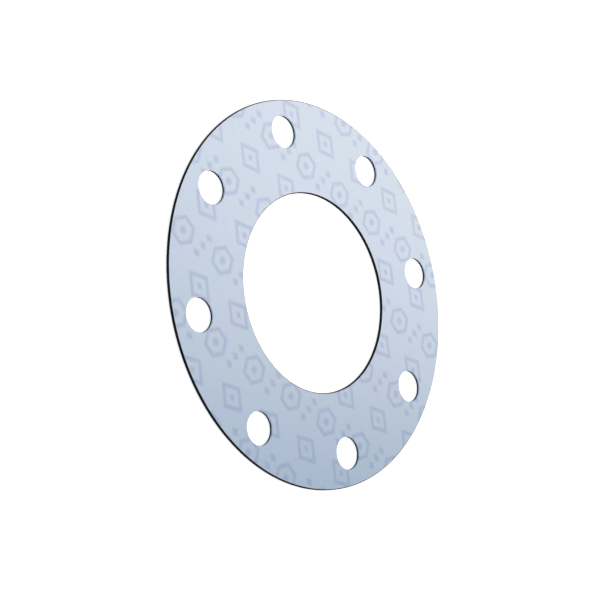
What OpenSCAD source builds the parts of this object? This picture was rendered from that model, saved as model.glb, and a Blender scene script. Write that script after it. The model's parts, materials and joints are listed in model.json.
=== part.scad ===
// Full face gasket for a flanged pipe joint: one flat ring, cut in a single stroke from sheet.
// It reaches out to the flange's rim, past the bolts, so the bolt holes go through the ring itself.
// It lies on its underside, with the axis of its bore on Z and its printed face up.

/* [Sheet] */
// Thickness of the sheet that the ring is cut from
sheet_t = 1.6; // [0.8:0.1:6.4]

/* [Ring] */
// Outside diameter, the same as the flange's
outer_d = 228.6; // [215:0.1:300]
// Diameter of the bore that the pipe's flow goes through
bore_d = 117.5; // [60:0.5:160]

/* [Bolt holes] */
// Number of bolt holes
hole_count = 8; // [4:4:16]
// Diameter of the circle that the holes' centres lie on
bolt_circle_d = 190.5; // [150:0.5:205]
// Diameter of one bolt hole
hole_d = 19.05; // [12:0.05:30]

/* [Hidden] */
$fn = 180;
// How far a cutting punch passes the sheet's faces, so that each hole comes out open
punch_past = 1;
hole_step = 360 / hole_count;
// The bolt holes straddle the X and Y axes, as they do on a flange
first_hole_angle = hole_step / 2;

// The blank: a disc of sheet out to the rim of the flange
module blank() {
    cylinder(d = outer_d, h = sheet_t);
}

// A round punch that goes right through the sheet
module punch(d) {
    translate([0, 0, -punch_past])
        cylinder(d = d, h = sheet_t + 2 * punch_past);
}

// The punches of the bolt holes, evenly spaced round the bolt circle
module bolt_hole_punches() {
    for (i = [0 : hole_count - 1])
        rotate([0, 0, first_hole_angle + i * hole_step])
            translate([bolt_circle_d / 2, 0, 0])
                punch(hole_d);
}

// The gasket: the blank with its bore and its bolt holes punched out square to the faces
module gasket() {
    color("#C3D2EA")
        difference() {
            blank();
            punch(bore_d);
            bolt_hole_punches();
        }
}

gasket();
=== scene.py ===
"""A full face flange gasket on a white table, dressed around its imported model."""

import json
import math

import bpy
from mathutils import Matrix, Vector


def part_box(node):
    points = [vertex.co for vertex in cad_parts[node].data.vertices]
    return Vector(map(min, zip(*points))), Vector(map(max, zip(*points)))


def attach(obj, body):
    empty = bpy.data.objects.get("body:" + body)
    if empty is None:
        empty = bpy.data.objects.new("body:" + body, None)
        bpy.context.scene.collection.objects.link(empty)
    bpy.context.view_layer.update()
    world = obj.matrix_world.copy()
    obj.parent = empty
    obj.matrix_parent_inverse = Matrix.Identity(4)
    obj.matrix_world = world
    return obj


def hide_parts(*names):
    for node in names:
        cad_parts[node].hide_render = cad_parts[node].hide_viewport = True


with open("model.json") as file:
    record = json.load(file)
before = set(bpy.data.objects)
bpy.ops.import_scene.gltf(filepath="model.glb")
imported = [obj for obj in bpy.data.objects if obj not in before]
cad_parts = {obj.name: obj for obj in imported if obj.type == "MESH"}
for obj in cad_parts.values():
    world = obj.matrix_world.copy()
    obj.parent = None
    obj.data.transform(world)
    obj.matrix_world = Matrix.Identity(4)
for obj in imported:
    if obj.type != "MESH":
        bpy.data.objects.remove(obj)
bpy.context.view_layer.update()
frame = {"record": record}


# The gasket. The real one is a single ring of filled PTFE sheet, cut in one stroke by a die, which
# leaves its rim, its bore and its bolt holes square to its faces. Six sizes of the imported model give
# the whole shape, so a node tree makes it, one bolt hole's share of the ring at a time.
MM = 0.001
FITTINGS = {mount["name"]: mount["dims"] for mount in frame["record"]["mounts"]}
SHEET_THICKNESS = FITTINGS["bore"]["length_mm"] * MM
OUTER_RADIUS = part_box("gasket")[1].x
BORE_RADIUS = FITTINGS["bore"]["r_mm"] * MM
BOLT_CIRCLE_RADIUS = FITTINGS["bolt_holes"]["pcd_mm"] * MM / 2
BOLT_HOLE_RADIUS = FITTINGS["bolt_holes"]["hole_r_mm"] * MM
BOLT_HOLES = FITTINGS["bolt_holes"]["count"]
HOLE_SEGMENTS = 144
SHARE_BANDS = 4
SEAM_WIDTH = 0.001 * MM
CORNER_ANGLE = math.radians(45)
CORNER_ROUNDING = 0.5 * MM
CORNER_SEGMENTS = 4
CORNER_MARK = "bevel_weight_edge"
EMPTY_SLOT, FACE_SLOT, CUT_SLOT = 0, 1, 2
FLAT_ENOUGH = 0.999
UPRIGHT_ENOUGH = 0.1


def feed(socket, value):
    """Gives an input its value: a link where another node works it out, and else a plain number."""
    if isinstance(value, Amount):
        value = value.socket
    if isinstance(value, bpy.types.NodeSocket):
        socket.id_data.links.new(value, socket)
    else:
        socket.default_value = value


class Amount:
    """A number that a node tree works out. Arithmetic with it adds the Math nodes that do it."""

    def __init__(self, socket):
        self.socket = socket

    def step(self, operation, *others):
        made = self.socket.id_data.nodes.new("ShaderNodeMath")
        made.operation = operation
        for socket, value in zip(made.inputs, (self, *others)):
            feed(socket, value)
        return Amount(made.outputs["Value"])

    def __add__(self, other):
        return self.step("ADD", other)

    def __sub__(self, other):
        return self.step("SUBTRACT", other)

    def __mul__(self, other):
        return self.step("MULTIPLY", other)

    def __truediv__(self, other):
        return self.step("DIVIDE", other)

    def __abs__(self):
        return self.step("ABSOLUTE")

    def at_least(self, other):
        return self.step("MAXIMUM", other)

    def at_most(self, other):
        return self.step("MINIMUM", other)

    def above(self, level):
        """1 where it is above the level, and 0 where it isn't."""
        return self.step("GREATER_THAN", level)

    def ramp(self, start, end):
        """How far it has come from the start to the end, from 0 to 1."""
        return ((self - start) / (end - start)).at_least(0.0).at_most(1.0)

    def between(self, first, last):
        """What lies between two values: the first where it is 0, the last where it is 1."""
        return self * (last - first) + first


def node(tree, kind, settings=None, **inputs):
    """Adds a node. An input is named by its label in small letters, with _ for a space."""
    made = tree.nodes.new(kind)
    for name, value in (settings or {}).items():
        setattr(made, name, value)
    for name, value in inputs.items():
        label = name.replace("_", " ").lower()
        feed(next(socket for socket in made.inputs if socket.name.lower() == label), value)
    return made


def point(tree, x, y, z):
    """A point whose three parts the tree works out."""
    return node(tree, "ShaderNodeCombineXYZ", x=x, y=y, z=z).outputs["Vector"]


def parts(tree, place):
    """The three parts of a point."""
    return [Amount(part) for part in node(tree, "ShaderNodeSeparateXYZ", vector=place).outputs]


def round_a_square(turn):
    """What goes round a square: 1 on the side ahead, -1 on the one behind, and a ramp between."""
    # It falls from 2 to -2 over half a turn and rises again, and the sides are what is cut off
    wave = turn.step("PINGPONG", 0.5) * -8.0 + 2.0
    return wave.at_most(1.0).at_least(-1.0)


def share_point(tree, turn, across, size):
    """A point of one hole's share of the ring, from the hole's edge, across 0, to the share's, 1."""
    pitch = size["Bolt Circle Radius"]
    ahead = round_a_square(turn)
    aside = round_a_square(turn - 0.25)
    outward = ahead.at_least(0.0) * (size["Outer Radius"] - pitch)
    inward = ahead.at_most(0.0) * (pitch - size["Bore Radius"])
    reach = pitch + outward + inward
    angle = aside * math.pi / size["Hole Count"]
    far_x, far_y = reach * angle.step("COSINE"), reach * angle.step("SINE")
    heading = turn * (2 * math.pi)
    near_x = pitch + size["Hole Radius"] * heading.step("COSINE")
    near_y = size["Hole Radius"] * heading.step("SINE")
    return point(tree, across.between(near_x, far_x), across.between(near_y, far_y), 0.0)


def punched_ring():
    """The node tree of a flat ring with evenly spaced round holes between its rim and its bore."""
    tree = bpy.data.node_groups.new("punched_ring", "GeometryNodeTree")
    lengths = ["Thickness", "Outer Radius", "Bore Radius", "Bolt Circle Radius", "Hole Radius"]
    for name in lengths:
        tree.interface.new_socket(name, in_out="INPUT", socket_type="NodeSocketFloat")
    tree.interface.new_socket("Hole Count", in_out="INPUT", socket_type="NodeSocketInt")
    for name in ("Face Finish", "Cut Finish"):
        tree.interface.new_socket(name, in_out="INPUT", socket_type="NodeSocketMaterial")
    tree.interface.new_socket("Ring", in_out="OUTPUT", socket_type="NodeSocketGeometry")
    given = tree.nodes.new("NodeGroupInput").outputs
    size = {name: Amount(given[name]) for name in [*lengths, "Hole Count"]}

    # One hole's share of the underside: a unit square wrapped round the hole
    square = node(
        tree, "GeometryNodeMeshGrid",
        size_x=1.0, size_y=1.0, vertices_x=HOLE_SEGMENTS + 1, vertices_y=SHARE_BANDS + 1,
    ).outputs["Mesh"]
    along, up, _ = parts(tree, node(tree, "GeometryNodeInputPosition").outputs["Position"])
    place = share_point(tree, along * -1.0 + 0.5, up + 0.5, size)
    share = node(tree, "GeometryNodeSetPosition", geometry=square, position=place).outputs["Geometry"]

    # The shares side by side, with the seams between them closed
    centres = node(tree, "GeometryNodePoints", count=size["Hole Count"]).outputs["Points"]
    number = Amount(node(tree, "GeometryNodeInputIndex").outputs["Index"])
    heading = (number + 0.5) * (2 * math.pi) / size["Hole Count"]
    turn = point(tree, 0.0, 0.0, heading)
    fan = node(tree, "GeometryNodeInstanceOnPoints", points=centres, instance=share, rotation=turn)
    flat = node(tree, "GeometryNodeRealizeInstances", geometry=fan.outputs["Instances"])
    underside = node(
        tree, "GeometryNodeMergeByDistance", geometry=flat.outputs["Geometry"], distance=SEAM_WIDTH
    ).outputs["Geometry"]

    # The sheet's thickness: its walls and upper face rise from the underside, which is turned down
    lift = point(tree, 0.0, 0.0, size["Thickness"])
    raised = node(
        tree, "GeometryNodeExtrudeMesh", {"mode": "FACES"}, mesh=underside, offset=lift, individual=False
    )
    bottom = node(tree, "GeometryNodeFlipFaces", mesh=underside).outputs["Mesh"]
    both = tree.nodes.new("GeometryNodeJoinGeometry")
    tree.links.new(raised.outputs["Mesh"], both.inputs["Geometry"])
    tree.links.new(bottom, both.inputs["Geometry"])
    closed = node(
        tree, "GeometryNodeMergeByDistance", geometry=both.outputs["Geometry"], distance=SEAM_WIDTH
    ).outputs["Geometry"]

    # The upper corners are marked for the bevel after this tree, and the two finishes are given
    bend = Amount(node(tree, "GeometryNodeInputMeshEdgeAngle").outputs["Unsigned Angle"])
    _, _, height = parts(tree, node(tree, "GeometryNodeInputPosition").outputs["Position"])
    marked = node(
        tree, "GeometryNodeStoreNamedAttribute", {"data_type": "FLOAT", "domain": "EDGE"},
        geometry=closed, name=CORNER_MARK,
        value=bend.above(CORNER_ANGLE) * height.above(size["Thickness"] / 2),
    ).outputs["Geometry"]
    solid = node(tree, "GeometryNodeRealizeInstances", geometry=marked).outputs["Geometry"]
    faced = node(tree, "GeometryNodeSetMaterial", geometry=solid, material=given["Face Finish"])
    # The walls take the cut finish, whose near-black is painted shade
    edged = node(
        tree, "GeometryNodeSetMaterial",
        geometry=faced.outputs["Geometry"], selection=raised.outputs["Side"], material=given["Cut Finish"],
    )
    node(tree, "NodeGroupOutput", ring=edged.outputs["Geometry"])
    return tree


# The body of the sheet, which is PTFE with a mineral filler, rolled out flat. Every finish shows its
# slow cloudiness and the fine grain of the filler.
NOISE_DETAIL = 3.0
NOISE_ROUGHNESS = 0.6


def shader_group(name, inputs, outputs):
    """An empty shader group, with its inputs by kind and the names of the numbers that it puts out."""
    group = bpy.data.node_groups.new(name, "ShaderNodeTree")
    for label, kind in inputs.items():
        group.interface.new_socket(label, in_out="INPUT", socket_type=kind)
    for label in outputs:
        group.interface.new_socket(label, in_out="OUTPUT", socket_type="NodeSocketFloat")
    return group, group.nodes.new("NodeGroupInput").outputs


def noise(tree, place, spots_per_mm):
    """Noise from 0 to 1, with the given number of spots to a millimetre."""
    made = node(
        tree, "ShaderNodeTexNoise",
        vector=place, scale=spots_per_mm, detail=NOISE_DETAIL, roughness=NOISE_ROUGHNESS,
    )
    return Amount(made.outputs["Fac"])


def filled_sheet():
    """The shader group of the sheet's body, for a place in millimetres."""
    sockets = {
        "Place": "NodeSocketVector",
        "Clouds per MM": "NodeSocketFloat",
        "Grains per MM": "NodeSocketFloat",
    }
    group, given = shader_group("filled_sheet", sockets, ["Cloud", "Grain"])
    cloud = noise(group, given["Place"], given["Clouds per MM"])
    grain = noise(group, given["Place"], given["Grains per MM"])
    node(group, "NodeGroupOutput", cloud=cloud, grain=grain)
    return group


# The print on the upper face. A roller lays pale lilac ink in staggered rows: outlines of diamonds and
# of six-sided nuts take turns, each with a solid heart, and trios of small lozenges stand between the
# rows. These sizes are in millimetres, to the middle of a line, and a shift is a share of a pitch.
ROW_HEADING = math.radians(142)
ROW_PITCH = 29.0
ROW_SHIFT = 0.5
FIGURE_PITCH = 24.0
INK_LINE = 2.2
DIAMOND = (14.0, 18.5)
DIAMOND_HEART = (3.6, 4.8)
NUT_WIDTH = 13.5
NUT_DOT = 2.2
LOZENGE = (4.2, 6.0)
LOZENGE_PITCH = 6.6
TRIO_PITCH = 2 * FIGURE_PITCH
TRIO_SHIFT = ROW_SHIFT / 2
TRIO_START = 0.75 * FIGURE_PITCH


def past_lozenge(x, y, size):
    """How far a place is outside a lozenge of the given width and height, or inside it, below 0."""
    half_x, half_y = size[0] / 2, size[1] / 2
    side = math.hypot(half_x, half_y)
    return (abs(x) * half_y + abs(y) * half_x - half_x * half_y) / side


def past_hexagon(x, y, width):
    """How far a place is outside a hexagon that stands on a corner, or inside it, below 0."""
    slanting = abs(x) * math.cos(math.radians(60)) + abs(y) * math.sin(math.radians(60))
    return slanting.at_least(abs(x)) - width / 2


def outlined(past, heart):
    """A figure drawn as a line along its outline, with its solid heart inside."""
    return (abs(past) - INK_LINE / 2).at_most(heart)


def staggered(row, along, pitch, shift):
    """The number of the nearest figure in a row of them, and how far past its middle a place is."""
    turn = along / pitch + row * shift
    number = turn.step("ROUND")
    return number, (turn - number) * pitch


def printed_rows():
    """The shader group of the print: how far a place is from the nearest ink, or inside it, below 0."""
    sockets = {"Along": "NodeSocketFloat", "Across": "NodeSocketFloat"}
    group, given = shader_group("printed_rows", sockets, ["Distance"])
    along = Amount(given["Along"])
    across = Amount(given["Across"]) / ROW_PITCH

    # A diamond or a nut, in turn along each row
    row = across.step("ROUND")
    y = (across - row) * ROW_PITCH
    number, x = staggered(row, along, FIGURE_PITCH, ROW_SHIFT)
    diamond = outlined(past_lozenge(x, y, DIAMOND), past_lozenge(x, y, DIAMOND_HEART))
    dot = (x * x + y * y).step("SQRT") - NUT_DOT
    nut = outlined(past_hexagon(x, y, NUT_WIDTH), dot)
    figure = number.step("FLOORED_MODULO", 2.0).between(diamond, nut)

    # Three small lozenges side by side, between a nut of one row and a nut of the next
    row = across.step("FLOOR")
    y = (across - row - 0.5) * ROW_PITCH
    _, x = staggered(row, along - TRIO_START, TRIO_PITCH, TRIO_SHIFT)
    nearest = (x / LOZENGE_PITCH).step("ROUND").at_most(1.0).at_least(-1.0)
    trio = past_lozenge(x - nearest * LOZENGE_PITCH, y, LOZENGE)
    node(group, "NodeGroupOutput", distance=figure.at_most(trio))
    return group


def linear_colour(code):
    """A colour written as red, green and blue in hex, as the linear values that a shader takes."""
    levels = [int(code[i:i + 2], 16) / 255 for i in (1, 3, 5)]
    return (*(((level + 0.055) / 1.055) ** 2.4 for level in levels), 1.0)


# Where a Mix node that blends colours has its factor, its two colours and its result
MIX_FACTOR, MIX_FIRST, MIX_SECOND = 0, 6, 7
MIX_RESULT = 2


def blend(tree, factor, first, second):
    """A colour that goes from the first to the second as the factor goes from 0 to 1."""
    made = node(tree, "ShaderNodeMix", {"data_type": "RGBA"})
    feed(made.inputs[MIX_FACTOR], factor)
    feed(made.inputs[MIX_FIRST], first)
    feed(made.inputs[MIX_SECOND], second)
    return made.outputs[MIX_RESULT]


def new_finish(name):
    """A material, its shader, and the place that its patterns read, in millimetres."""
    finish = bpy.data.materials.new(name)
    finish.use_nodes = True
    tree = finish.node_tree
    metres = node(tree, "ShaderNodeTexCoord").outputs["Object"]
    place = node(tree, "ShaderNodeVectorMath", {"operation": "SCALE"}, vector=metres, scale=1 / MM)
    return finish, tree, tree.nodes["Principled BSDF"], place.outputs["Vector"]


def mapped(tree, place, heading=0.0, scale=(1.0, 1.0, 1.0)):
    """The same place, turned about Z and scaled."""
    made = node(tree, "ShaderNodeMapping", vector=place)
    made.inputs["Rotation"].default_value = (0.0, 0.0, heading)
    made.inputs["Scale"].default_value = scale
    return made.outputs["Vector"]


def placed(tree, group, **inputs):
    """A group put in a tree, with the amounts that it puts out."""
    made = node(tree, "ShaderNodeGroup", {"node_tree": group}, **inputs)
    return {output.name: Amount(output) for output in made.outputs}


def roughen(tree, shader, height, depth):
    """Gives a shader the relief of a height from 0 to 1, which stands for the given depth."""
    relief = node(tree, "ShaderNodeBump", strength=1.0, distance=depth, height=height)
    feed(shader.inputs["Normal"], relief.outputs["Normal"])


# The finish of the faces: pale blue, with the satin skin that a calender's rolls leave, and specks of
# filler just under it. On the upper face lies the ink, which bleeds a little at its edges, wanders a
# little from its line and lies thinner in places.
FACE_BLUE = linear_colour("#C1CBE0")
FACE_CLOUD = linear_colour("#BCCDD9")
FACE_SPECK = linear_colour("#A4B0C6")
FACE_CLOUDS_PER_MM, FACE_GRAINS_PER_MM = 0.025, 1.4
CLOUDS_FROM, CLOUDS_TO = 0.25, 0.75
SPECKS_FROM, SPECKS_TO = 0.5, 1.125
FACE_ROUGHNESS = (0.55, 0.69)
FACE_RELIEF = 0.006 * MM
FACE_IOR = 1.35
FACE_SHEEN = 0.25
INK_LILAC = linear_colour("#ACB8D2")
INK_BLEED = 1.3
INK_WANDER = 0.5
WANDERS_PER_MM = 0.33
INK_THINNEST = 0.55
INK_THIN_TO = 0.64
THIN_PLACES_PER_MM = 0.11
INK_DULLNESS = 0.05


def printed_face(sheet):
    """The material of the faces."""
    finish, tree, shader, place = new_finish("printed_face")
    look = placed(
        tree, sheet, place=place,
        clouds_per_mm=FACE_CLOUDS_PER_MM, grains_per_mm=FACE_GRAINS_PER_MM,
    )
    along, across, height = parts(tree, mapped(tree, place, heading=-ROW_HEADING))
    distance = placed(tree, printed_rows(), along=along, across=across)["Distance"]
    wander = (noise(tree, place, WANDERS_PER_MM) - 0.5) * INK_WANDER
    line = (distance + wander).ramp(INK_BLEED / 2, -INK_BLEED / 2)
    cover = noise(tree, place, THIN_PLACES_PER_MM).ramp(0.0, INK_THIN_TO).between(INK_THINNEST, 1.0)
    ink = line * cover * height.above(SHEET_THICKNESS / MM / 2)

    blue = blend(tree, look["Cloud"].ramp(CLOUDS_FROM, CLOUDS_TO), FACE_BLUE, FACE_CLOUD)
    inked = blend(tree, ink, blue, INK_LILAC)
    specks = look["Grain"].ramp(SPECKS_FROM, SPECKS_TO)
    feed(shader.inputs["Base Color"], blend(tree, specks, inked, FACE_SPECK))
    feed(shader.inputs["Roughness"], look["Grain"].between(*FACE_ROUGHNESS) + ink * INK_DULLNESS)
    roughen(tree, shader, look["Grain"], FACE_RELIEF)
    shader.inputs["IOR"].default_value = FACE_IOR
    shader.inputs["Specular IOR Level"].default_value = FACE_SHEEN
    return finish


# The finish of the cut edges: dull, streaked from face to face by the die, and coloured near-black as
# painted shade, so that they read as a dark line.
PAINTED_SHADE_BLACK = linear_colour("#0A0B0D")
CUT_STREAK = linear_colour("#2A2D33")
CUT_CLOUDS_PER_MM, CUT_GRAINS_PER_MM = 0.15, 2.8
STREAKS_FROM, STREAKS_TO = 0.5, 0.83
STREAK_STRETCH = 0.1
CUT_ROUGHNESS = (0.6, 0.8)
CUT_RELIEF = 0.018 * MM
CUT_SHEEN = 0.08


def shade_painted_edge(sheet):
    """The material of the cut edges, whose near-black is painted shade."""
    finish, tree, shader, place = new_finish("shade_painted_edge")
    drawn = mapped(tree, place, scale=(1.0, 1.0, STREAK_STRETCH))
    look = placed(
        tree, sheet, place=drawn,
        clouds_per_mm=CUT_CLOUDS_PER_MM, grains_per_mm=CUT_GRAINS_PER_MM,
    )
    streaks = look["Grain"].ramp(STREAKS_FROM, STREAKS_TO) * look["Cloud"]
    # The near-black is painted shade; the die's streaks on it are the edge's own texture
    feed(shader.inputs["Base Color"], blend(tree, streaks, PAINTED_SHADE_BLACK, CUT_STREAK))
    feed(shader.inputs["Roughness"], look["Grain"].between(*CUT_ROUGHNESS))
    roughen(tree, shader, look["Grain"], CUT_RELIEF)
    shader.inputs["Specular IOR Level"].default_value = CUT_SHEEN
    return finish


def near_bolt_hole(place):
    """Whether a place is as near the bolt circle as the holes and their rounded corners are."""
    return abs(place.xy.length - BOLT_CIRCLE_RADIUS) < BOLT_HOLE_RADIUS + CORNER_ROUNDING


def cut_gasket():
    """The ring, with the rounding that the die leaves on its upper corners as it goes in. The rounding on
    the rim and the bore takes the cut edges' near-black, which is painted shade that widens their dark
    line, and the small punches draw the skin down into the bolt holes."""
    sheet = filled_sheet()
    face, cut = printed_face(sheet), shade_painted_edge(sheet)
    sizes = {
        "Thickness": SHEET_THICKNESS,
        "Outer Radius": OUTER_RADIUS,
        "Bore Radius": BORE_RADIUS,
        "Bolt Circle Radius": BOLT_CIRCLE_RADIUS,
        "Hole Radius": BOLT_HOLE_RADIUS,
        "Hole Count": BOLT_HOLES,
        "Face Finish": face,
        "Cut Finish": cut,
    }

    # The tree's grid brings a slot of its own, so the blank has one before those of the finishes, and
    # it goes again at the end
    blank = bpy.data.objects.new("blank", bpy.data.meshes.new("blank"))
    for finish in (None, face, cut):
        blank.data.materials.append(finish)
    bpy.context.scene.collection.objects.link(blank)
    punching = blank.modifiers.new("punching", "NODES")
    punching.node_group = punched_ring()
    for item in punching.node_group.interface.items_tree:
        if item.in_out == "INPUT":
            punching[item.identifier] = sizes[item.name]
    rounding = blank.modifiers.new("rounding", "BEVEL")
    rounding.width = CORNER_ROUNDING
    rounding.segments = CORNER_SEGMENTS
    rounding.limit_method = "WEIGHT"
    rounding.edge_weight = CORNER_MARK
    # The rounded corners take the cut edges' near-black, painted shade; those by the bolt holes go back to
    # the face below
    rounding.material = CUT_SLOT

    bpy.context.view_layer.update()
    evaluated = blank.evaluated_get(bpy.context.evaluated_depsgraph_get())
    mesh = bpy.data.meshes.new_from_object(evaluated)
    mesh.name = "gasket_sheet"
    bpy.data.objects.remove(blank)
    for polygon in mesh.polygons:
        polygon.use_smooth = abs(polygon.normal.z) < FLAT_ENOUGH
        # The rounding by the bolt holes takes the face's blue instead of the painted shade
        if polygon.normal.z > UPRIGHT_ENOUGH and near_bolt_hole(polygon.center):
            polygon.material_index = FACE_SLOT
    mesh.materials.pop(index=EMPTY_SLOT)
    ring = bpy.data.objects.new("gasket_sheet", mesh)
    bpy.context.scene.collection.objects.link(ring)
    return ring


gasket = cut_gasket()
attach(gasket, "root")
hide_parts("gasket")


# The table. A plain white board that the gasket lies on, a touch warm, so that the gasket's soft shadow
# on it is grey in the cool light. It glows a little to the eye, and fully from GLOW_TO on, so that it
# looks as white as the room behind.
TABLE_HALF = 4.0
TABLE_DROP = 0.02 * MM
TABLE_WHITE = (0.94, 0.84, 0.76, 1.0)
GLOW_NEAR, GLOW_FAR = 0.58, 1.0
GLOW_FROM, GLOW_TO = 0.2, 1.0


def seen_ray(tree):
    """1 for what the camera sees, straight or in a reflection, and 0 for the light that falls."""
    path = node(tree, "ShaderNodeLightPath").outputs
    straight, mirrored, through = (
        Amount(path[kind]) for kind in ("Is Camera Ray", "Is Glossy Ray", "Is Transmission Ray")
    )
    return straight.at_least(mirrored).at_least(through)


def white_board():
    """A white that is as bright to the eye as the room, and that still takes a shadow."""
    finish = bpy.data.materials.new("white_board")
    finish.use_nodes = True
    tree = finish.node_tree
    tree.nodes.clear()
    place = node(tree, "ShaderNodeTexCoord").outputs["Object"]
    reach = node(tree, "ShaderNodeVectorMath", {"operation": "LENGTH"}, vector=place).outputs["Value"]
    glow = Amount(reach).ramp(GLOW_FROM, GLOW_TO).between(GLOW_NEAR, GLOW_FAR) * seen_ray(tree)
    board = node(tree, "ShaderNodeBsdfDiffuse", color=TABLE_WHITE)
    shine = node(tree, "ShaderNodeEmission", strength=glow)
    both = tree.nodes.new("ShaderNodeAddShader")
    tree.links.new(board.outputs["BSDF"], both.inputs[0])
    tree.links.new(shine.outputs["Emission"], both.inputs[1])
    node(tree, "ShaderNodeOutputMaterial", surface=both.outputs["Shader"])
    return finish


def laid_table():
    """One flat square, just under the gasket."""
    sides = ((-1, -1), (1, -1), (1, 1), (-1, 1))
    corners = [(x * TABLE_HALF, y * TABLE_HALF, -TABLE_DROP) for x, y in sides]
    mesh = bpy.data.meshes.new("table")
    mesh.from_pydata(corners, [], [(0, 1, 2, 3)])
    mesh.materials.append(white_board())
    board = bpy.data.objects.new("table", mesh)
    bpy.context.scene.collection.objects.link(board)
    return board


laid_table()


# The light. An even, slightly cool light comes from all round. A warmer soft box has a grid before it,
# which keeps its light to the side that is up in the picture, so that the sheet deepens lower down.
ROOM_WHITE = (1.0, 1.0, 1.0, 1.0)
SKY_TINT = (0.67, 0.835, 1.0, 1.0)
SKY_LEVEL = 0.658
BOX_TINT = (1.0, 0.807, 0.608)
BOX_POWER = 1.23
BOX_SIZE = 0.55
BOX_SPREAD = math.radians(28.6)
BOX_PLACE = Vector((-0.293, 0.719, 0.61))
BOX_AIM = Vector((-0.209, 0.011, 0.0))


def light_room():
    """Even light from all round, which shows as white where the camera sees it."""
    room = bpy.data.worlds.new("room")
    bpy.context.scene.world = room
    room.use_nodes = True
    tree = room.node_tree
    tree.nodes.clear()
    lit = node(tree, "ShaderNodeBackground", color=SKY_TINT, strength=SKY_LEVEL)
    white = node(tree, "ShaderNodeBackground", color=ROOM_WHITE, strength=1.0)
    chosen = node(tree, "ShaderNodeMixShader", fac=seen_ray(tree))
    tree.links.new(lit.outputs["Background"], chosen.inputs[1])
    tree.links.new(white.outputs["Background"], chosen.inputs[2])
    node(tree, "ShaderNodeOutputWorld", surface=chosen.outputs["Shader"])


def hang_soft_box():
    """A square soft box with a grid before it, which isn't seen itself."""
    light = bpy.data.lights.new("soft_box", "AREA")
    light.size = BOX_SIZE
    light.spread = BOX_SPREAD
    light.energy = BOX_POWER
    light.color = BOX_TINT
    box = bpy.data.objects.new("soft_box", light)
    box.location = BOX_PLACE
    box.rotation_euler = (BOX_AIM - BOX_PLACE).to_track_quat("-Z", "Y").to_euler()
    box.visible_camera = False
    bpy.context.scene.collection.objects.link(box)


light_room()
hang_soft_box()


# The camera. It sees the gasket's face from where the photographer stood to it, and is rolled so that
# the ring stands up in the picture as it does there.
VIEW_HEADING = math.radians(22.79)
VIEW_HEIGHT = math.radians(42.33)
VIEW_ROLL = math.radians(78.53)
VIEW_DISTANCE = 869.9 * MM
VIEW_AIM = (7.39 * MM, -11.14 * MM, 0.0)
VIEW_LENS = 90.7
NEAREST_SEEN, FARTHEST_SEEN = 0.01, 50.0


def set_camera():
    """The camera, from its heading, height, roll and distance."""
    back = Vector((
        math.sin(VIEW_HEADING) * math.cos(VIEW_HEIGHT),
        -math.cos(VIEW_HEADING) * math.cos(VIEW_HEIGHT),
        math.sin(VIEW_HEIGHT),
    ))
    level = Vector((math.cos(VIEW_HEADING), math.sin(VIEW_HEADING), 0.0))
    upright = back.cross(level)
    right = level * math.cos(VIEW_ROLL) + upright * math.sin(VIEW_ROLL)
    up = upright * math.cos(VIEW_ROLL) - level * math.sin(VIEW_ROLL)
    camera = bpy.data.objects.new("camera", bpy.data.cameras.new("camera"))
    camera.data.lens = VIEW_LENS
    camera.data.clip_start = NEAREST_SEEN
    camera.data.clip_end = FARTHEST_SEEN
    facing = Matrix((right, up, back)).transposed().to_4x4()
    camera.matrix_world = Matrix.Translation(Vector(VIEW_AIM) + back * VIEW_DISTANCE) @ facing
    bpy.context.scene.collection.objects.link(camera)
    bpy.context.scene.camera = camera


set_camera()
bpy.context.scene.view_settings.view_transform = "Standard"
